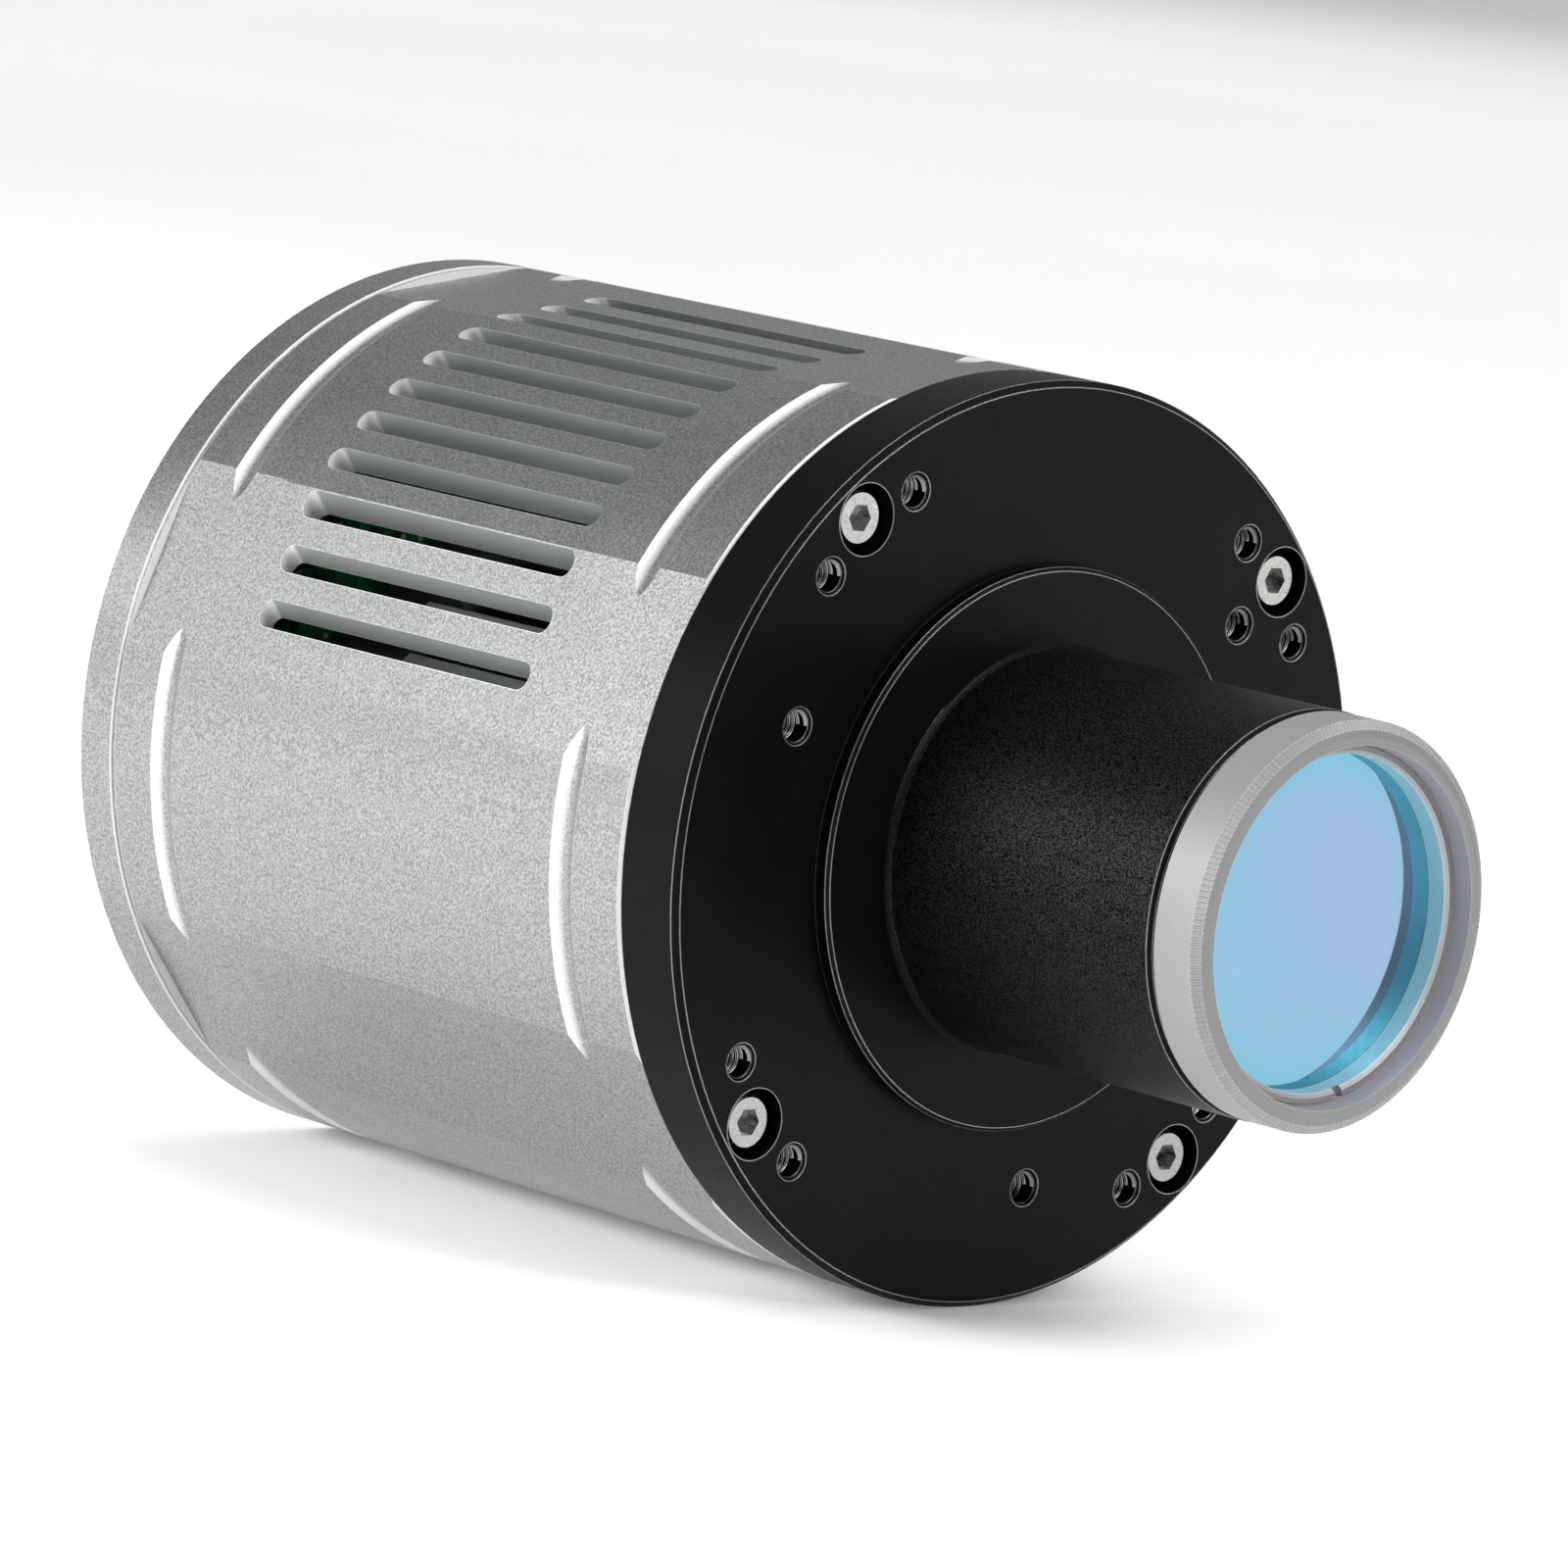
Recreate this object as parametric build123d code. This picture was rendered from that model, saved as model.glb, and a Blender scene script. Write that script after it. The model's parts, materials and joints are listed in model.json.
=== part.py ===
from build123d import *
from math import cos, radians, sin, sqrt
import os

# Cooled astronomy camera. Millimetres. The optical axis is the Y axis: the origin is where it
# meets the front plate's front face, -Y is the front (towards the telescope) and +Z is up.
# Angles round the axis run from +X towards +Z.

# Housing
housing_r = 36.5
housing_bore_r = 34.1
housing_front = 6.2
housing_rear = 67.1
flange_len = 6.0
flange_bore_r = 29.8
edge_break = 0.3
flat_count = 6
flat_first_angle = 40
flat_depth = 0.85
flat_tool_w = 30.0
flat_tool_h = 4.0
flat_tool_overrun = 1.0
relief_start = 56.0
relief_depth = 0.04
groove_centres = (13.0, 61.0)
groove_width = 2.5
groove_depth = 0.45
flange_tap_floor = 0.6

# Vents: parallel slots milled straight in from two opposite sides
vent_angles = (130, 310)
vent_count = 11
vent_pitch = 4.05
vent_width = 2.0
vent_length = 32.0
vent_centre_y = 37.0
vent_tool_reach = (22.0, 40.0)

# Screws that hold the front plate and the rear cover, M2.5 socket head
screw_circle_r = 33.0
screw_angles = (40, 130, 220, 310)
screw_head_r = 2.25
screw_head_h = 2.5
screw_head_rim = 0.3
screw_hex_af = 2.0
screw_socket_depth = 1.3
screw_shank_r = 1.2
screw_hole_r = 1.4
tapped_r = 1.25
counterbore_r = 2.8
plate_head_depth = 0.75
plate_screw_len = 8.0
cover_screw_len = 6.0

# Front plate
plate_thick = 6.2
plate_chamfer = 0.5
plate_rear_chamfer = 0.15
mount_thread_r = 20.6
mount_thread_depth = 4.4
plate_lip_r = 15.0
m3_hole_r = 1.25
m3_mouth_r = 1.5
m3_hole_depth = 5.0
outer_hole_circle_r = 32.0
outer_hole_offset = 9.25
inner_hole_circle_r = 27.5
inner_hole_angles = (40, 160, 280)
stack_tap_start = 2.6

# Nosepiece, 1.25 inch, screwed into the front plate
thread_gap = 0.08
nose_r = 15.875
nose_front = -29.5
nose_chamfer = 0.35
nose_fillet = 0.5
nose_bore_r = 13.2
nose_flange_r = 22.2
nose_flange_thick = 1.4
nose_spigot_len = 4.2
nose_rear_bore_r = 17.0
nose_cone_start = -0.5
filter_thread_r = 13.925
filter_socket_depth = 3.6
seal_r = 21.35
seal_section_r = 0.28
seal_seat_w = 0.8
seal_seat_depth = 0.68

# Filter: the cell's female thread is short, and a plainer bore behind it holds the retaining ring
cell_r = 15.8
cell_front = -34.25
cell_face_r = 14.5
cell_shoulder = -29.7
cell_thread_len = 2.72
cell_chamfer = 0.2
cell_bore_r = 13.75
knurl_front = -34.1
knurl_rear = -33.6
knurl_front_r = 15.2
knurl_teeth = 224
knurl_depth = 0.16
glass_r = 13.4
glass_front = -30.75
glass_thick = 2.0
glass_side_gap = 0.1
glass_end_gap = 0.02
clear_r = 12.95
retainer_front = -32.65
retainer_bevel = 0.3
retainer_slot_w = 0.8
retainer_slot_depth = 0.5
retainer_slot_angle = 15

# Sealed sensor chamber and the cooling stack behind it
chamber_r = 29.5
chamber_bore_r = 23.5
chamber_front = 6.2
chamber_rear = 23.8
chamber_floor = 10.4
chamber_aperture_r = 14.5
window_r = 16.8
window_front = 6.7
window_thick = 2.0
window_side_gap = 0.1
gasket_gap = 0.2
heater_gap = 0.4
heater_thick = 0.3
chamber_seal_r = 23.0
chamber_seal_section_r = 0.58
chamber_seal_seat_w = 1.8
chamber_seal_seat_depth = 1.2
rear_seal_r = 24.4
rear_seal_section_r = 0.48
rear_seal_seat_w = 1.1
rear_seal_seat_depth = 1.0
desiccant_circle_r = 20.4
desiccant_angles = (45, 135, 225, 315)
desiccant_r = 2.55
desiccant_pocket_r = 2.7
desiccant_sunk = 0.8
desiccant_proud = 2.6
sensor_post_circle_r = 14.3
sensor_post_angles = (0, 90, 180, 270)
sensor_post_r = 2.2
sensor_post_tap_r = 0.85
sensor_post_tap_floor = 0.6
sensor_screw_len = 4.2
sensor_screw_r = 0.8
sensor_screw_hole_r = 1.0
sensor_screw_head_r = 1.6
sensor_screw_head_h = 1.2
sensor_size = 11.3
sensor_plane = 12.5
sensor_die_thick = 0.4
sensor_well_margin = 1.5
package_w = 21.0
package_h = 18.0
package_front = 11.6
package_rear = 14.0
cover_glass_inset = 1.0
cover_glass_thick = 0.6
sensor_board_w = 32.0
sensor_board_thick = 1.6
finger_size = 16.0
finger_gap = 0.2
finger_foot = 26.0
finger_foot_thick = 1.6
probe_z = 9.0
probe_r = 0.5
probe_len = 7.6
probe_hole_r = 0.6
probe_hole_len = 8.2
peltier_size = 30.0
peltier_front = 20.0
peltier_plate = 0.8
element_count = 7
element_pitch = 4.0
element_size = 1.6
foam_front = 17.6
foam_side_gap = 0.2
foam_rear_gap = 0.1
foam_window_gap = 0.3
stack_screw_circle_r = 26.5
stack_screw_angles = (85, 175, 265, 355)
stack_screw_tip = 3.0

# Flat cable, carried round the outside of the heat sink
board_angle = 220
ribbon_w = 12.0
ribbon_thick = 0.25
ribbon_wall_z = 31.2
ribbon_sensor_z = 16.0
ribbon_board_z = 21.0
ribbon_board_gap = 1.2
ribbon_slot_w = 13.0
ribbon_slot_h = 10.0
ribbon_slot_z = 27.0
ribbon_slot_front = 15.7
ribbon_slot_rear = 16.7
ribbon_front = 16.0
cable_way_w = 14.0
cable_way_depth = 2.0
board_socket_z = 19.0
board_socket_size = (14.0, 3.9, 2.0)
sensor_socket_z = 14.2
sensor_socket_size = (11.0, 3.4, 1.6)

# Heat sink and fan. Both are square to the vents, so air crosses from one vent side to the other.
sink_r = 29.5
sink_counterbore_r = 3.2
sink_base_rear = 27.8
sink_rear = 42.5
fin_thick = 1.2
fin_pitch = 3.7
fin_pairs = 8
fan_front = 42.8
fan_thick = 10.0
fan_rear = fan_front + fan_thick
fan_side = 45.0
fan_corner_r = 3.5
fan_hole_xy = 18.5
fan_hole_r = 1.7
fan_bore_r = 21.4
fan_hub_r = 8.4
fan_spoke_thick = 1.5
fan_spoke_w = 2.4
fan_spoke_overlap = 0.5
bearing_tube_r = 3.1
bearing_r = 2.5
bearing_seat_r = 2.55
bearing_tube_front = fan_front + 3.6
bearing_front = fan_front + 3.8
bearing_rear = fan_rear - 0.2
stator_r = 6.6
stator_bore_r = 3.15
stator_front = fan_front + 4.0
stator_rear = fan_front + 8.0
stator_slot_r = 5.2
stator_slot_len = 3.2
stator_slot_w = 1.2
stator_slot_angles = (45, 135, 225, 315)
rotor_front = fan_front + 0.6
rotor_rear = fan_front + 8.2
rotor_hub_r = 9.4
rotor_hub_round = 0.8
rotor_tip_r = 20.8
rotor_wall = 1.0
rotor_cap_thick = 1.2
blade_count = 7
blade_thick = 0.9
blade_root_sunk = 0.5
blade_centre_y = fan_front + 4.1
blade_root_width = 8.0
blade_root_twist = 38
blade_tip_width = 9.5
blade_tip_twist = 56
magnet_thick = 1.0
magnet_front = fan_front + 3.0
magnet_rear = fan_front + 8.0
shaft_r = 1.0
shaft_gap = 0.04
shaft_front = rotor_front + rotor_cap_thick
shaft_rear = fan_rear - 0.4
fan_screw_len = 15.0
fan_screw_r = 1.15
fan_screw_head_r = 2.6
fan_screw_head_h = 1.6

# Rear cover, main board and sockets
cover_rear = 71.6
cover_groove_r = 36.3
cover_groove_end = 67.35
cover_edge = 0.5
cover_groove_chamfer = 0.1
board_r = 28.0
board_front = 57.5
board_thick = 1.6
board_rear = board_front + board_thick
front_chips = ((0, 2, 14, 14, 1.6), (-13, 11, 8, 6, 1.2), (13, 10, 7, 9, 1.2), (4, -15, 9, 6, 1.2))
rear_chips = ((2, 14, 10, 8, 1.2), (-14, 13, 6, 6, 1.2), (14, 8, 6, 5, 2.2), (0, 4, 6, 6, 1.0))
capacitor_places = ((11.0, 19.0), (-19.8, 9.0), (-10.0, 20.5), (20.0, 12.0))
capacitor_r = 2.5
capacitor_h = 5.6
standoff_circle_r = 24.0
standoff_angles = (85, 175, 265, 355)
standoff_af = 4.5
standoff_stud_r = 1.2
standoff_stud_len = 2.2
standoff_tap_r = 1.25
standoff_tap_depth = 5.0
standoff_stud_gap = 0.1
board_screw_len = 5.6
board_screw_r = 1.2
board_screw_hole_r = 1.35
board_screw_head_r = 2.2
board_screw_head_h = 1.5
socket_base_thick = 1.0
socket_hole_gap = 0.2
usb_x = -10.0
usb_z = -8.5
usb_w = 12.2
usb_h = 12.6
usb_front = 71.4
usb_tongue_depth = 4.8
usb_lower_z = usb_z - 1.6
usb_upper_z = usb_z + 3.6
usb_lower_size = (8.6, 7.6)
usb_upper_size = (5.8, 3.4)
usb_lower_tongue = (5.6, 3.4)
usb_upper_tongue = (4.2, 1.2)
usb_base_thick = 1.5
usb_base_gap = 0.05
jack_x = 10.5
jack_z = -8.5
jack_size = 9.6
jack_rear = 67.4
jack_bore_r = 3.15
jack_hole_r = 4.3
jack_pin_r = 1.05
jack_pin_sunk = 0.8

# How closely a radius or a position must match when an edge is picked for a fillet
pick_tolerance = 0.01


def polar(radius, angle):
    return radius * cos(radians(angle)), radius * sin(radians(angle))


def turned(*points):
    """Solid of revolution about the optical axis from (radius, y) corners."""
    return revolve(make_face(Polyline(*points, close=True)), Axis.Y)


def disc(radius, y0, y1):
    return Pos(0, (y0 + y1) / 2, 0) * Rot(90, 0, 0) * Cylinder(radius, y1 - y0)


def ring(outer_r, inner_r, y0, y1):
    return turned((inner_r, y0), (outer_r, y0), (outer_r, y1), (inner_r, y1))


def rod(radius, x, z, y0, y1):
    return Pos(x, 0, z) * disc(radius, y0, y1)


def block(width, height, y0, y1, x=0.0, z=0.0):
    return Pos(x, (y0 + y1) / 2, z) * Box(width, y1 - y0, height)


def seal_ring(radius, section_r, y):
    """Round-section rubber ring."""
    return Pos(0, y, 0) * Rot(90, 0, 0) * Torus(radius, section_r)


def seal_seat(radius, width, y, depth):
    """Square groove for a seal, cut rearwards from y."""
    return ring(radius + width / 2, radius - width / 2, y, y + depth)


def aimed(shape, angle):
    """Turn a shape built with +Z outwards so that +Z points along the given angle."""
    return Rot(0, 90 - angle, 0) * shape


def hexagon(across_flats, length):
    """Hexagonal rod from y = 0 along +Y."""
    return Rot(-90, 0, 0) * extrude(RegularPolygon(across_flats / sqrt(3), 6), length)


def cap_screw(shank_len, shank_r=screw_shank_r):
    """Socket head screw along +Y, with the top of its head at y = 0."""
    body = turned(
        (0, 0),
        (screw_head_r - screw_head_rim, 0),
        (screw_head_r, screw_head_rim),
        (screw_head_r, screw_head_h),
        (shank_r, screw_head_h),
        (shank_r, screw_head_h + shank_len),
        (0, screw_head_h + shank_len),
    )
    return body - hexagon(screw_hex_af, screw_socket_depth)


def pan_screw(shank_len, shank_r, head_r, head_h):
    """Small pan head screw along +Y, with the top of its head at y = 0."""
    bevel = head_h / 3
    return turned(
        (0, 0),
        (head_r - bevel, 0),
        (head_r, bevel),
        (head_r, head_h),
        (shank_r, head_h),
        (shank_r, head_h + shank_len),
        (0, head_h + shank_len),
    )


def backwards(shape):
    """Turn a shape built along +Y so that it runs along -Y."""
    return Rot(0, 0, 180) * shape


def put(shape, x, y, z):
    return Pos(x, y, z) * shape


def round_pattern(shape, radius, angles, y):
    """Copies of a shape on a circle, without turning them."""
    copies = []
    for angle in angles:
        x, z = polar(radius, angle)
        copies.append(put(shape, x, y, z))
    return copies


# ---------------------------------------------------------------- nosepiece and filter

def nosepiece():
    spigot_r = mount_thread_r - thread_gap
    socket_end = nose_front + filter_socket_depth
    body = turned(
        (filter_thread_r, nose_front),
        (nose_r - nose_chamfer, nose_front),
        (nose_r, nose_front + nose_chamfer),
        (nose_r, -nose_flange_thick),
        (nose_flange_r - edge_break, -nose_flange_thick),
        (nose_flange_r, -nose_flange_thick + edge_break),
        (nose_flange_r, 0),
        (spigot_r, 0),
        (spigot_r, nose_spigot_len),
        (nose_rear_bore_r, nose_spigot_len),
        (nose_rear_bore_r, nose_cone_start),
        (nose_bore_r, -nose_flange_thick),
        (nose_bore_r, socket_end),
        (filter_thread_r, socket_end),
    )
    root = [
        edge
        for edge in body.edges().filter_by(GeomType.CIRCLE)
        if abs(edge.radius - nose_r) < pick_tolerance
        and abs(edge.center().Y + nose_flange_thick) < pick_tolerance
    ]
    body = fillet(root, nose_fillet)
    return body - seal_seat(seal_r, seal_seat_w, -seal_seat_depth, seal_seat_depth)


def nosepiece_seal():
    return seal_ring(seal_r, seal_section_r, -seal_seat_depth / 2)


def knurl_outline(outer_r, y):
    """Toothed outline of the knurl, square to the axis."""
    corners = []
    for tooth in range(knurl_teeth):
        for half, radius in ((0, outer_r), (0.5, outer_r - knurl_depth)):
            x, z = polar(radius, (tooth + half) * 360 / knurl_teeth)
            corners.append((x, y, z))
    return make_face(Polyline(*corners, close=True))


def filter_cell():
    """Plain band with a knurled bevel in front and the male thread behind."""
    male_r = filter_thread_r - thread_gap
    glass_seat = glass_front + glass_thick
    pocket_r = glass_r + glass_side_gap
    outlines = [knurl_outline(knurl_front_r, knurl_front), knurl_outline(cell_r, knurl_rear)]
    knurl = loft(outlines, ruled=True)
    knurl -= disc(filter_thread_r, knurl_front, knurl_rear)
    face = turned(
        (filter_thread_r, cell_front),
        (cell_face_r, cell_front),
        (knurl_front_r - knurl_depth, knurl_front),
        (filter_thread_r, knurl_front),
    )
    rear = turned(
        (filter_thread_r, knurl_rear),
        (cell_r, knurl_rear),
        (cell_r, cell_shoulder - cell_chamfer),
        (cell_r - cell_chamfer, cell_shoulder),
        (male_r, cell_shoulder),
        (male_r, cell_shoulder + cell_thread_len),
        (clear_r, cell_shoulder + cell_thread_len),
        (clear_r, glass_seat),
        (pocket_r, glass_seat),
        (pocket_r, glass_front),
        (cell_bore_r, glass_front),
        (cell_bore_r, retainer_front),
        (filter_thread_r, retainer_front),
    )
    return face + knurl + rear


def filter_glass():
    return disc(glass_r, glass_front + glass_end_gap, glass_front + glass_thick - glass_end_gap)


def filter_retaining_ring():
    outer_r = cell_bore_r - thread_gap
    body = turned(
        (clear_r + retainer_bevel, retainer_front),
        (outer_r, retainer_front),
        (outer_r, glass_front),
        (clear_r, glass_front),
        (clear_r, retainer_front + retainer_bevel),
    )
    slot = block(2 * cell_r, retainer_slot_w, retainer_front, retainer_front + retainer_slot_depth)
    return body - aimed(slot, retainer_slot_angle)


# ---------------------------------------------------------------- front plate and housing

def threaded_hole(x, z):
    """M3 tapped hole with a countersunk mouth, cut from the front face."""
    lead = m3_mouth_r - m3_hole_r
    tool = turned(
        (0, 0),
        (m3_mouth_r, 0),
        (m3_hole_r, lead),
        (m3_hole_r, m3_hole_depth),
        (0, m3_hole_depth),
    )
    return put(tool, x, 0, z)


def front_plate():
    body = turned(
        (mount_thread_r, 0),
        (housing_r - plate_chamfer, 0),
        (housing_r, plate_chamfer),
        (housing_r, plate_thick - plate_rear_chamfer),
        (housing_r - plate_rear_chamfer, plate_thick),
        (plate_lip_r, plate_thick),
        (plate_lip_r, mount_thread_depth),
        (mount_thread_r, mount_thread_depth),
    )
    head_end = plate_head_depth + screw_head_h
    for angle in screw_angles:
        x, z = polar(screw_circle_r, angle)
        body -= rod(counterbore_r, x, z, 0, head_end)
        body -= rod(screw_hole_r, x, z, head_end, plate_thick)
        for side in (-1, 1):
            hole_x, hole_z = polar(outer_hole_circle_r, angle + side * outer_hole_offset)
            body -= threaded_hole(hole_x, hole_z)
    for angle in inner_hole_angles:
        body -= threaded_hole(*polar(inner_hole_circle_r, angle))
    for angle in stack_screw_angles:
        x, z = polar(stack_screw_circle_r, angle)
        body -= rod(tapped_r, x, z, stack_tap_start, plate_thick)
    return body


def plate_screws():
    screw = cap_screw(plate_screw_len)
    return round_pattern(screw, screw_circle_r, screw_angles, plate_head_depth)


def vent_tool():
    """One vent slot, along Y, standing on +Z."""
    low, high = vent_tool_reach
    tall = high - low
    straight = vent_length - vent_width
    tool = Box(vent_width, straight, tall)
    for end in (-1, 1):
        tool += Pos(0, end * straight / 2, 0) * Cylinder(vent_width / 2, tall)
    return Pos(0, vent_centre_y, (low + high) / 2) * tool


def housing_cove(centre):
    """Profile of one shallow round-bottomed groove in the housing's outside."""
    half = groove_width / 2
    deepest = (housing_r - groove_depth, centre)
    return ThreePointArc((housing_r, centre - half), deepest, (housing_r, centre + half))


def housing():
    front_cove, rear_cove = [housing_cove(centre) for centre in groove_centres]
    land = Line(front_cove @ 1, rear_cove @ 0)
    others = Polyline(
        rear_cove @ 1,
        (housing_r, housing_rear - edge_break),
        (housing_r - edge_break, housing_rear),
        (flange_bore_r, housing_rear),
        (flange_bore_r, housing_rear - flange_len),
        (housing_bore_r, housing_rear - flange_len),
        (housing_bore_r, housing_front + flange_len),
        (flange_bore_r, housing_front + flange_len),
        (flange_bore_r, housing_front),
        (housing_r - edge_break, housing_front),
        (housing_r, housing_front + edge_break),
        front_cove @ 0,
    )
    body = revolve(make_face([front_cove, land, rear_cove, *others.edges()]), Axis.Y)

    flat_z = housing_r - flat_depth + flat_tool_h / 2
    tool_front = housing_front - flat_tool_overrun
    tool_rear = housing_rear + flat_tool_overrun
    for index in range(flat_count):
        angle = flat_first_angle + index * 360 / flat_count
        side = block(flat_tool_w, flat_tool_h, tool_front, tool_rear, z=flat_z)
        relief = block(flat_tool_w, flat_tool_h, relief_start, tool_rear, z=flat_z - relief_depth)
        body -= aimed(side, angle)
        body -= aimed(relief, angle)

    for angle in vent_angles:
        for index in range(vent_count):
            offset = (index - (vent_count - 1) / 2) * vent_pitch
            body -= aimed(Pos(offset, 0, 0) * vent_tool(), angle)

    depth = flange_len - flange_tap_floor
    for angle in screw_angles:
        x, z = polar(screw_circle_r, angle)
        body -= rod(tapped_r, x, z, housing_front, housing_front + depth)
        body -= rod(tapped_r, x, z, housing_rear - depth, housing_rear)
    return body


# ---------------------------------------------------------------- sensor chamber

def window_gasket():
    return ring(window_r, plate_lip_r + gasket_gap, chamber_front, window_front)


def sensor_window():
    return disc(window_r, window_front, window_front + window_thick)


def window_heater():
    start = window_front + window_thick
    return ring(window_r, chamber_aperture_r + heater_gap, start, start + heater_thick)


def sensor_posts():
    return [polar(sensor_post_circle_r, angle) for angle in sensor_post_angles]


def desiccant_positions():
    return [polar(desiccant_circle_r, angle) for angle in desiccant_angles]


def sensor_chamber():
    recess = window_front + window_thick + heater_thick
    pocket_r = window_r + window_side_gap
    body = turned(
        (pocket_r, chamber_front),
        (chamber_r, chamber_front),
        (chamber_r, chamber_rear),
        (chamber_bore_r, chamber_rear),
        (chamber_bore_r, chamber_floor),
        (chamber_aperture_r, chamber_floor),
        (chamber_aperture_r, recess),
        (pocket_r, recess),
    )
    for x, z in sensor_posts():
        body += rod(sensor_post_r, x, z, chamber_floor, package_rear)
        body -= rod(sensor_post_tap_r, x, z, chamber_floor + sensor_post_tap_floor, package_rear)
    for x, z in desiccant_positions():
        body -= rod(desiccant_pocket_r, x, z, chamber_floor - desiccant_sunk, chamber_floor)
    body -= seal_seat(chamber_seal_r, chamber_seal_seat_w, chamber_front, chamber_seal_seat_depth)
    for angle in stack_screw_angles:
        x, z = polar(stack_screw_circle_r, angle)
        body -= rod(screw_hole_r, x, z, chamber_front, chamber_rear)
    slot = block(ribbon_slot_w, ribbon_slot_h, ribbon_slot_front, ribbon_slot_rear, z=ribbon_slot_z)
    return body - aimed(slot, board_angle)


def chamber_seal():
    middle = chamber_front + chamber_seal_seat_depth / 2
    return seal_ring(chamber_seal_r, chamber_seal_section_r, middle)


def desiccant_tablets():
    front = chamber_floor - desiccant_sunk
    rear = chamber_floor + desiccant_proud
    return [rod(desiccant_r, x, z, front, rear) for x, z in desiccant_positions()]


def sensor_cover_glass():
    width = package_w - 2 * cover_glass_inset
    height = package_h - 2 * cover_glass_inset
    return block(width, height, package_front - cover_glass_thick, package_front)


def sensor_package():
    body = block(package_w, package_h, package_front, package_rear)
    well_w = sensor_size + 2 * sensor_well_margin
    return body - block(well_w, well_w, package_front, sensor_plane + sensor_die_thick)


def sensor_die():
    return block(sensor_size, sensor_size, sensor_plane, sensor_plane + sensor_die_thick)


def sensor_board():
    rear = package_rear + sensor_board_thick
    body = block(sensor_board_w, sensor_board_w, package_rear, rear)
    opening_w = finger_size + 2 * finger_gap
    body -= block(opening_w, opening_w, package_rear, rear)
    for x, z in sensor_posts():
        body -= rod(sensor_screw_hole_r, x, z, package_rear, rear)
    return body


def sensor_board_screws():
    shape = pan_screw(sensor_screw_len, sensor_screw_r, sensor_screw_head_r, sensor_screw_head_h)
    top = package_rear + sensor_board_thick + sensor_screw_head_h
    return [put(backwards(shape), x, top, z) for x, z in sensor_posts()]


def cold_finger():
    step = peltier_front - finger_foot_thick
    body = block(finger_size, finger_size, package_rear, step)
    body += block(finger_foot, finger_foot, step, peltier_front)
    probe_y = peltier_front - finger_foot_thick / 2
    return body - put(Cylinder(probe_hole_r, probe_hole_len), 0, probe_y, probe_z)


def temperature_probe():
    return put(Cylinder(probe_r, probe_len), 0, peltier_front - finger_foot_thick / 2, probe_z)


def peltier_module():
    cold_plate = block(peltier_size, peltier_size, peltier_front, peltier_front + peltier_plate)
    hot_plate = block(peltier_size, peltier_size, chamber_rear - peltier_plate, chamber_rear)
    return [cold_plate, hot_plate]


def peltier_elements():
    front = peltier_front + peltier_plate
    rear = chamber_rear - peltier_plate
    offsets = [(index - (element_count - 1) / 2) * element_pitch for index in range(element_count)]
    solids = []
    for x in offsets:
        for z in offsets:
            solids.append(block(element_size, element_size, front, rear, x, z))
    return solids


def insulation_ring():
    body = disc(chamber_bore_r - foam_side_gap, foam_front, chamber_rear - foam_rear_gap)
    window_w = peltier_size + 2 * foam_window_gap
    return body - block(window_w, window_w, foam_front, chamber_rear)


def rear_chamber_seal():
    return seal_ring(rear_seal_r, rear_seal_section_r, chamber_rear + rear_seal_seat_depth / 2)


def stack_screws():
    screw = backwards(cap_screw(sink_base_rear - stack_screw_tip))
    return round_pattern(screw, stack_screw_circle_r, stack_screw_angles, sink_base_rear + screw_head_h)


# ---------------------------------------------------------------- heat sink and fan

def heat_sink():
    body = disc(sink_r, chamber_rear, sink_base_rear)
    for pair in range(fin_pairs):
        offset = (pair + 0.5) * fin_pitch
        chord = 2 * sqrt(sink_r ** 2 - (offset + fin_thick / 2) ** 2)
        for side in (-1, 1):
            fin = block(fin_thick, chord, sink_base_rear, sink_rear, x=side * offset)
            body += aimed(fin, vent_angles[0])
    for angle in stack_screw_angles:
        x, z = polar(stack_screw_circle_r, angle)
        body -= rod(screw_hole_r, x, z, chamber_rear, sink_base_rear)
        body -= rod(sink_counterbore_r, x, z, sink_base_rear, sink_rear)
    body -= seal_seat(rear_seal_r, rear_seal_seat_w, chamber_rear, rear_seal_seat_depth)
    cable_way = block(cable_way_w, 2 * cable_way_depth, chamber_rear, sink_base_rear, z=sink_r)
    return body - aimed(cable_way, board_angle)


def fan_corners():
    corners = []
    for x in (-fan_hole_xy, fan_hole_xy):
        for z in (-fan_hole_xy, fan_hole_xy):
            corners.append((x, z))
    return corners


def fan_frame():
    body = block(fan_side, fan_side, fan_front, fan_rear)
    body = fillet(body.edges().filter_by(Axis.Y), fan_corner_r)
    body -= disc(fan_bore_r, fan_front, fan_rear)
    spoke_front = fan_rear - fan_spoke_thick
    body += disc(fan_hub_r, spoke_front, fan_rear)
    spoke = block(2 * (fan_bore_r + fan_spoke_overlap), fan_spoke_w, spoke_front, fan_rear)
    for turn in (0, 90):
        body += Rot(0, turn, 0) * spoke
    body += disc(bearing_tube_r, bearing_tube_front, spoke_front)
    body -= disc(bearing_seat_r, bearing_tube_front, fan_rear)
    for x, z in fan_corners():
        body -= rod(fan_hole_r, x, z, fan_front, fan_rear)
    return aimed(body, vent_angles[0])


def fan_bearing():
    return ring(bearing_r, shaft_r + shaft_gap, bearing_front, bearing_rear)


def fan_stator():
    body = ring(stator_r, stator_bore_r, stator_front, stator_rear)
    gap = block(stator_slot_len, stator_slot_w, stator_front, stator_rear, x=stator_slot_r)
    for angle in stator_slot_angles:
        body -= Rot(0, angle, 0) * gap
    return body


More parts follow.
